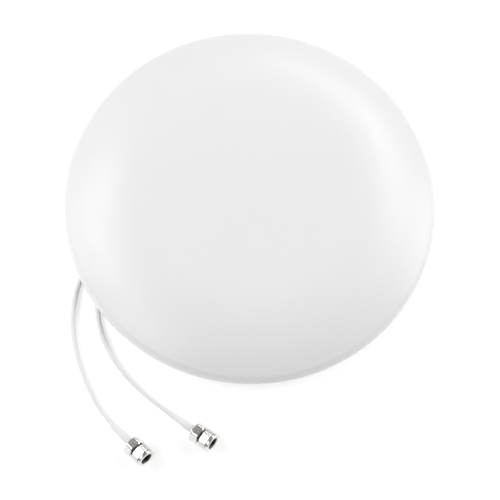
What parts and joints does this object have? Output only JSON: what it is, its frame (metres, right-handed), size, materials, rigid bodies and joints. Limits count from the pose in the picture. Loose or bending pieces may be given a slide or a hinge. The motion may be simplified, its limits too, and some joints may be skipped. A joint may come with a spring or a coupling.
{
  "type": "ceiling antenna of a cellular signal booster",
  "caption": "Low round white ceiling antenna for a cellular signal booster, on a twist-lock back plate, with coaxial pigtails ending in threaded jacks.",
  "frame": {"origin": "centre of the mounting plane, on the axis of the dome", "axes": "+Z out of the dome, away from the ceiling; the pigtails leave on the -X side and end in front, towards -Y"},
  "size_m": [0.296, 0.3681, 0.036],
  "materials": {
    "radome_plastic": "satin white moulding",
    "tray_plastic": "matt white moulding",
    "seal_rubber": "dark EPDM",
    "grommet_rubber": "light grey rubber",
    "screw_steel": "zinc plated",
    "bracket_steel": "galvanised sheet",
    "sheet_aluminium": "mill finish sheet",
    "radiator_brass": "stamped brass",
    "spacer_nylon": "natural nylon",
    "ptfe": "white PTFE",
    "cable_jacket": "white jacket",
    "shrink_sleeve": "white heat-shrink",
    "nickel": "bright nickel plating",
    "contact_gold": "plated contact"
  },
  "bodies": {
    "antenna": {"radome": "radome_plastic", "rim_ring": "radome_plastic", "base_tray": "tray_plastic", "rim_gasket": "seal_rubber", "radome_screws": "screw_steel", "ground_plane": "sheet_aluminium", "ground_plane_screws": "screw_steel", "isolation_strip_left": "sheet_aluminium", "isolation_strip_right": "sheet_aluminium", "isolation_strip_screws": "screw_steel", "radiator_rear": "radiator_brass", "radiator_front": "radiator_brass", "radiator_spacers_rear": "spacer_nylon", "radiator_spacers_front": "spacer_nylon", "feed_insulator_rear": "ptfe", "feed_insulator_front": "ptfe", "radiator_screws": "screw_steel", "lead_clips": "screw_steel", "lead_clip_screws": "screw_steel", "shoulder_studs": "screw_steel", "stud_spacers": "spacer_nylon", "outlet_grommet_left": "grommet_rubber", "inner_lead_left": "cable_jacket", "pigtail_left": "cable_jacket", "heat_shrink_boot_left": "shrink_sleeve", "crimp_ferrule_left": "nickel", "connector_body_left": "nickel", "connector_dielectric_left": "ptfe", "centre_contact_left": "contact_gold", "outlet_grommet_right": "grommet_rubber", "inner_lead_right": "cable_jacket", "pigtail_right": "cable_jacket", "heat_shrink_boot_right": "shrink_sleeve", "crimp_ferrule_right": "nickel", "connector_body_right": "nickel", "connector_dielectric_right": "ptfe", "centre_contact_right": "contact_gold"},
    "bracket": {"mounting_bracket": "bracket_steel"}
  },
  "joints": [
    {"name": "bracket_twist", "type": "hinge", "parent": "antenna", "child": "bracket", "pos_m": [0, 0, 0], "axis": [0, 0, 1], "range_deg": [0, 20]}
  ]
}
